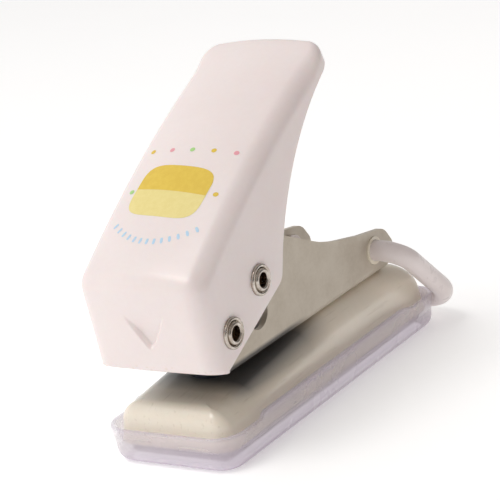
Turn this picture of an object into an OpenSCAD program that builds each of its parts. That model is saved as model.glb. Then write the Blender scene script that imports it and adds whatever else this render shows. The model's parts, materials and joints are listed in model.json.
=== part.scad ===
// Single-hole lever punch: a plastic lever on a steel frame drives a punch rod
// down a guide bush, through the paper and into a die ring in the base block.
// X is the width, +Y the rear, +Z up. The origin is on the table, under the
// middle of the base block. All sizes are in millimetres.

/* [Base block] */
// Length of the base block
base_l = 86.6; // [72:0.5:105]
// Width of the base block
base_w = 28.8; // [26:0.1:38]
// Height of the frame's seat above the table
seat_z = 17.6; // [15.5:0.1:22]
// Height of the paper ramp's front edge above the table
ramp_z = 12.4; // [11.5:0.1:15]
// Length of the paper ramp, from the base block's front to the frame's seat
ramp_l = 46; // [40:0.5:52]
// How far the base block's sides lean in from foot to top
base_draft = 0.8; // [0:0.1:1.5]
// Height of the base block's lower edge above the table
skirt_z = 4.2; // [2.8:0.1:5]
// Wall of the base block
base_t = 1.2; // [0.8:0.1:1.6]

/* [Chip tray] */
// Height of the tray's rim above the table
rim_z = 8.4; // [7:0.1:10.5]
// Wall of the tray at its rim
tray_t = 1.6; // [1:0.1:2]
// How far the tray's side leans in from rim to table
tray_draft = 0.8; // [0:0.1:1.5]
// Play between the tray and the base block
tray_gap = 0.4; // [0.3:0.05:0.6]

/* [Frame] */
// Thickness of the frame's sheet steel
sheet_t = 1.2; // [0.8:0.1:1.5]
// Distance from the base block's front to the lever's fulcrum
fulcrum_setback = 6.4; // [5:0.1:10]
// Height of the fulcrum above the frame's seat
fulcrum_rise = 10.2; // [9.5:0.1:13]
// Distance from the base block's rear to the bail's pivot
bail_setback = 17.4; // [14:0.1:22]
// Height of the bail's pivot above the frame's seat
bail_rise = 5.8; // [5.4:0.1:8]

/* [Lever] */
// Outer width of the lever
lever_w = 30.6; // [26:0.1:38]
// Wall of the lever's shell
lever_t = 1.8; // [1.2:0.1:2.2]
// Distance from the fulcrum to the drive tube
drive_arm = 13.8; // [12.5:0.1:15]
// Angle of the drive tube above the fulcrum at rest
drive_angle = 30; // [26:1:34]
// Angle the lever turns through when it is pressed
press_angle = 37; // [30:1:38]
// Height of the front crease above the fulcrum
crease_rise = 13.3; // [12.5:0.1:15]
// Distance of the front crease ahead of the fulcrum
crease_lead = 10.0; // [9.6:0.1:11]
// Radius of the top face's crown along its length
crown_r = 257; // [200:1:400]
// Slope of the top face at the front crease
crown_slope = 38; // [34:1:40]
// Length of the top face from the crease to the tip
crown_l = 67.2; // [58:0.5:82]
// Radius of the lever's long edges
lever_round = 4; // [3:0.1:5]

/* [Rivet tubes] */
// Outer radius of the two rivet tubes
tube_r = 2.4; // [2:0.05:2.6]
// Wall of the rivet tubes
tube_t = 0.5; // [0.3:0.05:0.6]
// Outer radius of the eyelets that the tubes are flared over
eyelet_r = 3.3; // [2.9:0.05:3.6]
// Thickness of the eyelets
eyelet_t = 0.7; // [0.5:0.05:1]
// Thickness of the washers between the lever and the frame
washer_t = 1.7; // [1:0.1:2.2]

/* [Punch] */
// Radius of the punch rod
punch_r = 3.0; // [2.4:0.05:3.6]
// Wire diameter of the return spring
spring_wire = 0.55; // [0.4:0.05:0.7]
// Number of turns of the return spring
spring_turns = 5; // [4:0.5:7]

/* [Lock bail] */
// Radius of the bail's round bar
bail_r = 2.4; // [2:0.05:2.6]
// Gap between the lever's side and the bail's leg
bail_gap = 0.6; // [0.4:0.1:1.5]
// Angle of the bail below the horizontal at rest
bail_rest = 41; // [36:1:48]

/* [Fits] */
// Radial clearance of a part that turns or slides in a hole
run_fit = 0.05; // [0.03:0.01:0.1]
// Radial clearance of a part that is fixed in a hole
set_fit = 0.02; // [0.01:0.01:0.04]
// Gap between faces that slide past each other
slip = 0.1; // [0.05:0.05:0.2]

/* [Hidden] */
$fn = 96;
eps = 0.01;

// Lines along the base block, from front to rear
front_y = -base_l / 2;
rear_y = base_l / 2;
base_front_round = 5.5;
base_rear_round = 10;
base_side_round = 6;
base_plan_round = 5.5;

// Lever pivots. The drive tube swings through the level of the fulcrum.
fulcrum_y = front_y + fulcrum_setback;
fulcrum_z = seat_z + fulcrum_rise;
fulcrum = [fulcrum_y, fulcrum_z];
drive_y = fulcrum_y + drive_arm * cos(drive_angle);
drive_z = fulcrum_z + drive_arm * sin(drive_angle);
pressed_angle = drive_angle - press_angle;
swing_front = fulcrum_y + drive_arm * min(cos(drive_angle), cos(pressed_angle));
swing_rear = fulcrum_y + drive_arm;

// Widths, from the lever's outside inwards
lever_half = lever_w / 2;
frame_half = lever_half - lever_t - washer_t - 2 * slip;
channel_half = frame_half - sheet_t;
tube_half = lever_half + eyelet_t;
flare_t = 0.35;
flare_r = tube_r + 0.3;
washer_r = 4.6;

// Punch group, on a vertical line through the middle of the tube's swing
punch_y = (swing_front + swing_rear) / 2;
floor_top = seat_z + sheet_t;
sleeve_t = 0.3;
sleeve_r = tube_r + run_fit + sleeve_t;
yoke_play = 0.25;
yoke_web = 2;
yoke_wall = 2.2;
yoke_half_w = 6.5;
slot_half_h = sleeve_r + yoke_play;
slot_half_l = sleeve_r + yoke_play + (swing_rear - swing_front) / 2;
yoke_low = drive_z - slot_half_h - yoke_web;
yoke_high = drive_z + slot_half_h + yoke_web;
shank_r = 2;
punch_tip_z = seat_z + 0.7;
spring_washer_t = 0.4;
spring_washer_r = 5.6;
bush_r = punch_r + 0.9;
bush_rise = 1.2;
die_r = punch_r + 2.6;
die_flange = 1.2;
die_depth = 3;
die_relief = 0.5;
die_top = ramp_height(punch_y + die_r) + slip;
spring_foot_r = 7.4;
spring_head_r = 4.7;

// Frame outline
frame_front_y = punch_y - bush_r - 6.2;
frame_bend = 1.8;
slot_arc_r = drive_arm + 1;
slot_half = tube_r + 1.2;
slot_low_angle = pressed_angle + 1.6;
slot_high_angle = drive_angle - 1.6;
frame_rivet_r = 1.4;
frame_rivet_head_r = 2.4;
frame_rivet_head_h = 0.9;

// Lock bail
bail_y = rear_y - bail_setback;
bail_z = seat_z + bail_rise;
bail_bush_t = 0.4;
bail_flange_t = 0.3;
bail_hole_r = bail_r + run_fit + bail_bush_t;
bail_flange_r = bail_hole_r + 0.3;
bail_leg_x = lever_half + bail_gap + bail_r;
bail_elbow_r = 5.6;
bail_bend_r = 9;
bail_stub_in = channel_half - 1.2;
bail_barb_l = 0.9;
bail_barb = 0.4;

// Chip tray
tray_half_w = base_w / 2 + tray_gap + tray_t;
tray_half_l = base_l / 2 + tray_gap + tray_t;
tray_round = base_plan_round + tray_gap + tray_t;
tray_ledge = 1.2;
tray_foot_round = 1.6;
tray_floor = 1.2;
bail_l = (tray_half_l + bail_r + 3 * slip - bail_y) / cos(bail_rest);

// Lever outline, in the lever's rest position
crease = fulcrum + [-crease_lead, crease_rise];
crown_centre = crease + crown_r * [sin(crown_slope), -cos(crown_slope)];
tip_r = 2.6;
tip_plan_round = 5;
tip_wall = 2.6;
tip_angle = 90 + crown_slope - crown_l / crown_r * 180 / PI;
tip_centre = crown_centre + (crown_r - tip_r) * [cos(tip_angle), sin(tip_angle)];
chin = fulcrum + [-7.4, -6.4];
front_lean = atan2(chin[0] - crease[0], crease[1] - chin[1]);
heel = fulcrum + [-3.4, -7.4];
knee = fulcrum + [20.2, 3.9];
waist = fulcrum + [22.0, 9.6];
back_r = 62;

// Parts

// ---- Outlines ----

function polar(c, r, a) = c + r * [cos(a), sin(a)];

function arc(c, r, a0, a1, n) = [for (i = [0:n]) polar(c, r, a0 + (a1 - a0) * i / n)];

function unit(v) = v / norm(v);

function turn(u, v) = sign(u[0] * v[1] - u[1] * v[0]);

// Points that round the corner p between its neighbours a and b
function corner(a, p, b, r, n) =
    r == 0 ? [p] :
    let (
        u = unit(a - p),
        v = unit(b - p),
        half = acos(u * v) / 2,
        c = p + unit(u + v) * r / sin(half),
        s = p + u * r / tan(half) - c,
        a0 = atan2(s[1], s[0]),
        sweep = -turn(u, v) * (180 - 2 * half)
    ) arc(c, r, a0, a0 + sweep, n);

// A closed outline through points [y, z, corner radius]
function rounded(pts, n = 8) = [
    for (i = [0:len(pts) - 1])
        let (
            k = len(pts),
            a = pts[(i + k - 1) % k],
            p = pts[i],
            b = pts[(i + 1) % k]
        ) each corner([a[0], a[1]], [p[0], p[1]], [b[0], b[1]], p[2], n)
];

// The arc of radius r from p to q whose centre lies to the right of the way from p to q
function bow(p, q, r, n) =
    let (
        d = q - p,
        m = (p + q) / 2,
        h = sqrt(r * r - d * d / 4),
        c = m + unit([d[1], -d[0]]) * h,
        a0 = atan2(p[1] - c[1], p[0] - c[0]),
        a1 = atan2(q[1] - c[1], q[0] - c[0])
    ) arc(c, r, a0, a1, n);

// Height of the paper ramp above the table at y
function ramp_height(y) = ramp_z + (seat_z - ramp_z) * (y - front_y) / ramp_l;

// ---- Shapes in the part's frame ----

// An outline in Y and Z, given a width across X
module side_prism(w) {
    rotate([90, 0, 90])
        linear_extrude(w, center = true)
            children();
}

// An outline in X and Z, given a length along Y
module long_prism(l) {
    rotate([90, 0, 0])
        linear_extrude(l, center = true)
            children();
}

// A round bar along X at [y, z]
module cross_bar(at, r, w) {
    translate([0, at[0], at[1]])
        rotate([0, 90, 0])
            cylinder(r = r, h = w, center = true);
}

// A ring along X at [y, z], between two values of |x| on both sides
module side_rings(at, r_out, r_in, x_in, x_out) {
    for (s = [-1, 1])
        translate([s * (x_in + x_out) / 2, 0, 0])
            difference() {
                cross_bar(at, r_out, x_out - x_in);
                cross_bar(at, r_in, x_out - x_in + 2 * eps);
            }
}

// A rectangle with round corners, centred
module round_rect(w, l, r) {
    square([w - 2 * r, l], center = true);
    square([w, l - 2 * r], center = true);
    for (x = [-1, 1])
        for (y = [-1, 1])
            translate([x * (w / 2 - r), y * (l / 2 - r)])
                circle(r = r);
}

// A deep section whose far face is on the Y axis with round corners
module crowned_section(reach, w, r) {
    translate([-reach, -w / 2])
        square([reach - r, w]);
    translate([-reach, -w / 2 + r])
        square([reach, w - 2 * r]);
    for (s = [-1, 1])
        translate([-r, s * (w / 2 - r)])
            circle(r = r, $fn = 48);
}

// ---- Base block and tray ----

// The base block's solid, drawn in by one wall thickness for its cavity
module base_solid(inset) {
    foot = skirt_z - inset;
    top = seat_z - inset;
    half = base_w / 2 - inset;
    ramp_y = front_y + base_draft + inset;
    intersection() {
        side_prism(base_w + 2)
            polygon(rounded([
                [front_y + inset, foot, 0],
                [rear_y - inset, foot, 0],
                [rear_y - base_draft - inset, top, base_rear_round - inset],
                [front_y + ramp_l, top, 12],
                [ramp_y, ramp_height(ramp_y) - inset, base_front_round - inset]
            ]));
        long_prism(base_l + 2)
            polygon(rounded([
                [-half, foot, 0],
                [half, foot, 0],
                [half - base_draft, top, base_side_round - inset],
                [base_draft - half, top, base_side_round - inset]
            ]));
        linear_extrude(seat_z)
            round_rect(base_w - 2 * inset, base_l - 2 * inset, base_plan_round - inset);
    }
}

module base_shell() {
    color([0.88, 0.86, 0.80])
        difference() {
            base_solid(0);
            base_solid(base_t);
            translate([0, punch_y, skirt_z])
                cylinder(r = die_r + set_fit, h = seat_z);
            for (y = frame_rivet_ys())
                translate([0, y, seat_z - 2 * base_t])
                    cylinder(r = frame_rivet_r + set_fit, h = 3 * base_t);
        }
}

// The die ring is let into the paper table from below, and its flange backs the table
module die_ring() {
    low = die_top - die_depth - base_t;
    flange_top = ramp_height(punch_y - die_r - die_flange) - base_t - set_fit;
    color([0.62, 0.62, 0.63])
        difference() {
            union() {
                translate([0, punch_y, low])
                    cylinder(r = die_r, h = die_top - low);
                translate([0, punch_y, flange_top - die_flange])
                    cylinder(r = die_r + die_flange, h = die_flange);
            }
            translate([0, punch_y, low - eps])
                cylinder(r = punch_r + run_fit, h = die_top - low + 2 * eps);
            translate([0, punch_y, low - eps])
                cylinder(r = punch_r + die_relief, h = (die_top - low) / 2);
        }
}

module tray_layer(z, inset, h = eps) {
    translate([0, 0, z])
        linear_extrude(h)
            round_rect(2 * (tray_half_w - inset), 2 * (tray_half_l - inset), tray_round - inset);
}

// The tray clips round the base block's skirt, which stands on the tray's ledge
module chip_tray() {
    skirt_inset = tray_t;
    ledge_z = skirt_z - slip;
    color([0.80, 0.78, 0.85, 0.6])
        difference() {
            hull() {
                tray_layer(0, tray_draft + tray_foot_round);
                tray_layer(tray_foot_round * 0.3, tray_draft + tray_foot_round * 0.3);
                tray_layer(tray_foot_round, tray_draft);
                tray_layer(rim_z - eps, 0);
            }
            tray_layer(ledge_z, skirt_inset, rim_z);
            tray_layer(tray_floor, skirt_inset + tray_ledge, rim_z);
        }
}

// ---- Frame ----

function frame_rivet_ys() = [bail_y - 13.5, bail_y - 1.5];

// Side view of the frame: nose over the fulcrum, hollow back, lug round the bail's pivot
module frame_outline() {
    nose = fulcrum + [-5.2, 0];
    lug = [bail_y, bail_z];
    top = [punch_y + 9.5, fulcrum_z + drive_arm * sin(drive_angle) + 6.5];
    difference() {
        polygon(rounded([
            [frame_front_y, seat_z, 1.5],
            [lug[0] + 5.2, seat_z, 1.5],
            [lug[0] + 9.2, lug[1] - 1.4, 2.5],
            [lug[0] + 5.4, lug[1] + 3.6, 5],
            [lug[0] - 5, lug[1] + 5.2, 5],
            [lug[0] - 19.4, lug[1] + 8.2, 50],
            [top[0], top[1], 6],
            [punch_y - 4.2, drive_z + 5.4, 5],
            [nose[0], fulcrum_z + 4.6, 5],
            [nose[0], fulcrum_z - 4.2, 4]
        ]));
        translate(fulcrum)
            circle(r = tube_r + run_fit);
        translate(lug)
            circle(r = bail_hole_r + set_fit);
        drive_slot();
    }
}

// The window that the drive tube swings in, centred on the fulcrum
module drive_slot() {
    r_in = slot_arc_r - slot_half;
    r_out = slot_arc_r + slot_half;
    n = 16;
    polygon(concat(
        arc(fulcrum, r_out, slot_low_angle, slot_high_angle, n),
        arc(fulcrum, r_in, slot_high_angle, slot_low_angle, n)
    ));
    for (a = [slot_low_angle, slot_high_angle])
        translate(polar(fulcrum, slot_arc_r, a))
            circle(r = slot_half);
}

// The channel's section: two walls on a floor with round bends
module channel_section() {
    high = fulcrum_rise + drive_arm + 10;
    inner_bend = frame_bend - sheet_t;
    difference() {
        union() {
            translate([-frame_half, seat_z + frame_bend])
                square([2 * frame_half, high]);
            translate([-frame_half + frame_bend, seat_z])
                square([2 * (frame_half - frame_bend), high]);
            for (s = [-1, 1])
                translate([s * (frame_half - frame_bend), seat_z + frame_bend])
                    circle(r = frame_bend);
        }
        translate([-channel_half, seat_z + frame_bend])
            square([2 * channel_half, high + 1]);
        translate([-channel_half + inner_bend, floor_top])
            square([2 * (channel_half - inner_bend), high]);
        for (s = [-1, 1])
            translate([s * (channel_half - inner_bend), seat_z + frame_bend])
                circle(r = inner_bend);
    }
}

module frame() {
    color([0.80, 0.77, 0.70])
        difference() {
            intersection() {
                side_prism(2 * frame_half + 2)
                    frame_outline();
                long_prism(2 * base_l)
                    channel_section();
            }
            translate([0, punch_y, seat_z - 1])
                cylinder(r = bush_r + set_fit, h = sheet_t + 2);
            for (y = frame_rivet_ys())
                translate([0, y, seat_z - 1])
                    cylinder(r = frame_rivet_r + set_fit, h = sheet_t + 2);
        }
}

module guide_bush() {
    color([0.72, 0.60, 0.36])
        difference() {
            translate([0, punch_y, seat_z])
                cylinder(r = bush_r, h = sheet_t + bush_rise);
            translate([0, punch_y, seat_z - eps])
                cylinder(r = punch_r + run_fit, h = sheet_t + bush_rise + 2 * eps);
        }
}

// Two rivets hold the channel's floor to the base block
module frame_rivets() {
    tail_z = seat_z - base_t;
    color([0.75, 0.74, 0.72])
        for (y = frame_rivet_ys()) {
            translate([0, y, tail_z - frame_rivet_head_h])
                cylinder(r = frame_rivet_r, h = base_t + sheet_t + 2 * frame_rivet_head_h);
            translate([0, y, floor_top])
                cylinder(r1 = frame_rivet_head_r, r2 = frame_rivet_r, h = frame_rivet_head_h);
            translate([0, y, tail_z - frame_rivet_head_h])
                cylinder(r1 = frame_rivet_r, r2 = frame_rivet_head_r, h = frame_rivet_head_h);
        }
}

module bail_bushes() {
    pivot = [bail_y, bail_z];
    bore = bail_r + run_fit;
    color([0.90, 0.87, 0.68]) {
        side_rings(pivot, bail_hole_r, bore, channel_half, frame_half);
        side_rings(pivot, bail_flange_r, bore, frame_half, frame_half + bail_flange_t);
    }
}

module fulcrum_spacer() {
    color([0.66, 0.66, 0.67])
        difference() {
            cross_bar(fulcrum, tube_r + run_fit + 0.8, 2 * (channel_half - slip));
            cross_bar(fulcrum, tube_r + run_fit, 2 * channel_half);
        }
}

// ---- Lever ----

// The space under the crowned top and behind the front, drawn in by inset
module lever_envelope(inset) {
    w = lever_w - 2 * inset;
    r = lever_round - inset;
    depth = 90;
    over = 0.1;
    intersection() {
        translate([0, crown_centre[0], crown_centre[1]])
            rotate([0, 90, 0])
                rotate_extrude($fn = 240)
                    translate([crown_r - inset, 0])
                        crowned_section(depth, w, r);
        translate([0, chin[0], chin[1]])
            rotate([front_lean, 0, 0])
                rotate([0, 0, -90])
                    linear_extrude(2 * depth, center = true)
                        translate([-inset, 0])
                            crowned_section(depth, w, r);
        translate([0, tip_centre[0], tip_centre[1]])
            rotate([tip_angle - 90, 0, 0])
                rotate([0, 0, 90])
                    linear_extrude(2 * depth, center = true)
                        translate([tip_r - inset * tip_wall / lever_t, 0])
                            crowned_section(depth, w + over, tip_plan_round - inset);
    }
}

// Side view of the lever. The envelope bounds its top, front and tip.
module lever_outline() {
    far = 30;
    back = bow(waist, tip_centre + [-1.2, -tip_r - 1.6], back_r, 24);
    tip = arc(tip_centre, tip_r, -62, tip_angle, 12);
    polygon(concat(
        [chin + far * unit(chin - heel)],
        corner(chin, heel, knee, 2.5, 6),
        corner(heel, knee, waist, 3.5, 6),
        back,
        tip,
        [tip_centre + far * [cos(tip_angle), sin(tip_angle)]],
        [[chin[0] - far, crease[1] + far]]
    ));
}

// A shallow pointed grip mark on the front face
module front_mark() {
    depth = 0.5;
    translate([0, chin[0], chin[1]])
        rotate([front_lean, 0, 0])
            rotate([90, 0, 0])
                translate([0, 0, -depth])
                    linear_extrude(depth + 1)
                        polygon([[0, 4.6], [4.8, 12.6], [-4.8, 12.6]]);
}

module lever_shell() {
    color([0.94, 0.90, 0.89])
        difference() {
            intersection() {
                lever_envelope(0);
                side_prism(lever_w + 2)
                    lever_outline();
            }
            lever_envelope(lever_t);
            front_mark();
            cross_bar(fulcrum, tube_r + set_fit, lever_w + 2);
            cross_bar([drive_y, drive_z], tube_r + set_fit, lever_w + 2);
        }
}

// A tube through both lever walls, its ends flared over the eyelets
module rivet_tube(at) {
    color([0.70, 0.68, 0.66])
        difference() {
            union() {
                cross_bar(at, tube_r, 2 * (tube_half + flare_t));
                side_rings(at, flare_r, tube_r - tube_t, tube_half, tube_half + flare_t);
            }
            cross_bar(at, tube_r - tube_t, 2 * tube_half + 4);
        }
}

module eyelets(at) {
    color([0.78, 0.77, 0.75])
        side_rings(at, eyelet_r, tube_r + set_fit, lever_half, tube_half);
}

module washers(at) {
    inner = lever_half - lever_t;
    color([0.85, 0.85, 0.83])
        side_rings(at, washer_r, tube_r + set_fit, inner - slip - washer_t, inner - slip);
}

module fulcrum_tube() {
    rivet_tube(fulcrum);
}

module fulcrum_eyelets() {
    eyelets(fulcrum);
}

module fulcrum_washers() {
    washers(fulcrum);
}

module drive_tube() {
    rivet_tube([drive_y, drive_z]);
}

module drive_eyelets() {
    eyelets([drive_y, drive_z]);
}

module drive_washers() {
    washers([drive_y, drive_z]);
}

module drive_sleeve() {
    at = [drive_y, drive_z];
    color([0.66, 0.66, 0.67])
        difference() {
            cross_bar(at, sleeve_r, 2 * (channel_half - 2 * slip));
            cross_bar(at, tube_r + run_fit, 2 * channel_half);
        }
}

// ---- Punch ----

// The rod's tip is hollow ground, and its shank is riveted over in the yoke
module punch_rod() {
    color([0.72, 0.72, 0.74])
        difference() {
            union() {
                translate([0, punch_y, punch_tip_z])
                    cylinder(r = punch_r, h = yoke_low - punch_tip_z);
                translate([0, punch_y, yoke_low - eps])
                    cylinder(r = shank_r, h = yoke_web - set_fit + eps);
            }
            translate([0, punch_y, punch_tip_z - 1])
                cylinder(r1 = punch_r - 0.2, r2 = 0.8, h = 2.2);
        }
}

module punch_yoke() {
    color([0.60, 0.60, 0.62])
        difference() {
            side_prism(2 * yoke_half_w)
                yoke_outline();
            translate([0, punch_y, yoke_low - 1])
                cylinder(r = shank_r + set_fit, h = yoke_web + 2);
        }
}

module yoke_outline() {
    half = slot_half_l + yoke_wall;
    difference() {
        translate([punch_y, (yoke_low + yoke_high) / 2])
            round_rect(2 * half, yoke_high - yoke_low, 2);
        translate([punch_y - slot_half_l + slot_half_h, drive_z - slot_half_h])
            square([2 * (slot_half_l - slot_half_h), 2 * slot_half_h]);
        for (s = [-1, 1])
            translate([punch_y + s * (slot_half_l - slot_half_h), drive_z])
                circle(r = slot_half_h);
    }
}

module spring_washer() {
    top = yoke_low - set_fit;
    color([0.75, 0.75, 0.76])
        translate([0, punch_y, top - spring_washer_t])
            difference() {
                cylinder(r = spring_washer_r, h = spring_washer_t);
                translate([0, 0, -1])
                    cylinder(r = punch_r + run_fit, h = spring_washer_t + 2);
            }
}

// A conical coil that telescopes, so that it closes to little more than its wire
module return_spring() {
    steps = 20;
    sides = 8;
    r = spring_wire / 2;
    rings = spring_turns * steps;
    low = floor_top + r + set_fit;
    high = yoke_low - set_fit - spring_washer_t - r - set_fit;
    points = [
        for (i = [0:rings])
            let (
                t = i / rings,
                coil_r = spring_foot_r + (spring_head_r - spring_foot_r) * t,
                rise = min(max((i / steps - 0.75) / (spring_turns - 1.5), 0), 1),
                a = 360 * i / steps
            )
            for (j = [0:sides - 1])
                let (
                    b = 360 * j / sides,
                    q = coil_r + r * cos(b)
                ) [q * cos(a), q * sin(a), low + (high - low) * rise + r * sin(b)]
    ];
    walls = [
        for (i = [0:rings - 1])
            for (j = [0:sides - 1])
                let (
                    k = (j + 1) % sides,
                    p = i * sides
                ) each [[p + j, p + sides + k, p + k], [p + j, p + sides + j, p + sides + k]]
    ];
    ends = [
        [for (j = [0:sides - 1]) j],
        [for (j = [0:sides - 1]) rings * sides + sides - 1 - j]
    ];
    color([0.66, 0.67, 0.70])
        translate([0, punch_y, 0])
            polyhedron(points, concat(walls, ends), convexity = 10);
}

// ---- Lock bail ----

// One round bar: a barbed stub through each lug, two legs, and the cross bar behind the tray
module lock_bail() {
    stub_end = bail_leg_x - bail_elbow_r;
    leg_end = bail_l - bail_bend_r;
    color([0.93, 0.90, 0.89])
        translate([0, bail_y, bail_z])
            rotate([-bail_rest, 0, 0]) {
                for (s = [0, 1])
                    mirror([s, 0, 0]) {
                        translate([bail_stub_in, 0, 0])
                            rotate([0, 90, 0])
                                cylinder(r = bail_r, h = stub_end - bail_stub_in);
                        translate([bail_stub_in, 0, 0])
                            rotate([0, 90, 0])
                                cylinder(r = bail_r + bail_barb, h = bail_barb_l);
                        bail_bend([stub_end, bail_elbow_r], bail_elbow_r, -90);
                        translate([bail_leg_x, bail_elbow_r, 0])
                            rotate([-90, 0, 0])
                                cylinder(r = bail_r, h = leg_end - bail_elbow_r);
                        bail_bend([bail_leg_x - bail_bend_r, leg_end], bail_bend_r, 0);
                    }
                translate([0, bail_l, 0])
                    rotate([0, 90, 0])
                        cylinder(r = bail_r, h = 2 * (bail_leg_x - bail_bend_r), center = true);
            }
}

// A quarter bend of the bar round a centre, from this angle on
module bail_bend(centre, r, start) {
    translate([centre[0], centre[1], 0])
        rotate([0, 0, start])
            rotate_extrude(angle = 90)
                translate([r, 0])
                    circle(r = bail_r);
}

base_shell();
die_ring();
chip_tray();
frame();
guide_bush();
frame_rivets();
bail_bushes();
fulcrum_spacer();
return_spring();
lever_shell();
fulcrum_tube();
fulcrum_eyelets();
fulcrum_washers();
drive_tube();
drive_eyelets();
drive_washers();
drive_sleeve();
punch_rod();
punch_yoke();
spring_washer();
lock_bail();
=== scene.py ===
"""The looks of the single-hole punch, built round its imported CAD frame.

Pieces and patterns are sized in millimetres and become metres in build(), cut() and
Material. The camera, the lights and the floor are placed in metres. X is the width, +Y the
rear and +Z up, as in the CAD.
"""

import json
import math

import bmesh
import bpy
import numpy as np
from mathutils import Matrix, Vector


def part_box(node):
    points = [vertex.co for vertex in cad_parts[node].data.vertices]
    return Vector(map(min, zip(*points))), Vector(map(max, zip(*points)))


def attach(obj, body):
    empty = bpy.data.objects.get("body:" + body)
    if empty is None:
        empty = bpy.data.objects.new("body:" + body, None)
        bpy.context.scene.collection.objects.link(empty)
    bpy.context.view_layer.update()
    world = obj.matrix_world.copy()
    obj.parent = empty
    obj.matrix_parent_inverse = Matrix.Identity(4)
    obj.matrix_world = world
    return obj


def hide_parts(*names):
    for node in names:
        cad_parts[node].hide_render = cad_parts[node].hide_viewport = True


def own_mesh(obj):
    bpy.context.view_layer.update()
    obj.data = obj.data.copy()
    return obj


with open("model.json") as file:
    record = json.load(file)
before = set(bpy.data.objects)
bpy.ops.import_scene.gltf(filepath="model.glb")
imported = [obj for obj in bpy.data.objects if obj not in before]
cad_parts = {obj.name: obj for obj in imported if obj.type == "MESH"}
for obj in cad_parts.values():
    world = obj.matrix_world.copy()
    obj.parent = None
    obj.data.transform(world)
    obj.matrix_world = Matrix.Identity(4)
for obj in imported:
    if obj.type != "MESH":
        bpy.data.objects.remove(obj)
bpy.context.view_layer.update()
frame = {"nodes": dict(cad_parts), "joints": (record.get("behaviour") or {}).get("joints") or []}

MM = 0.001
JOINTS = {j["name"]: j for j in frame["joints"]}


def node_box(node):
    """Lowest and highest corner of a CAD node in millimetres."""
    low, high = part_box(node)
    return np.array(low) / MM, np.array(high) / MM


def pivot(joint):
    """A hinge's place in the YZ plane, in millimetres."""
    return np.array(JOINTS[joint]["pos_m"][1:]) / MM


# ---------------------------------------------------------------- materials

CLOUD_BAND = (0.35, 0.65)
ROUGH_BAND = (0.3, 0.7)


def srgb(r, g, b):
    """Linear RGBA from display values of 0 to 255."""
    shown = (r / 255, g / 255, b / 255)
    return (*[c / 12.92 if c <= 0.04045 else ((c + 0.055) / 1.055) ** 2.4 for c in shown], 1.0)


def map_range(tree, value, low, high, to_low, to_high):
    """A value mapped from low..high to to_low..to_high and clamped there."""
    node = tree.nodes.new("ShaderNodeMapRange")
    tree.links.new(value, node.inputs["Value"])
    ends = {"From Min": low, "From Max": high, "To Min": to_low, "To Max": to_high}
    for key, number in ends.items():
        node.inputs[key].default_value = number
    return node.outputs["Result"]


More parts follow.
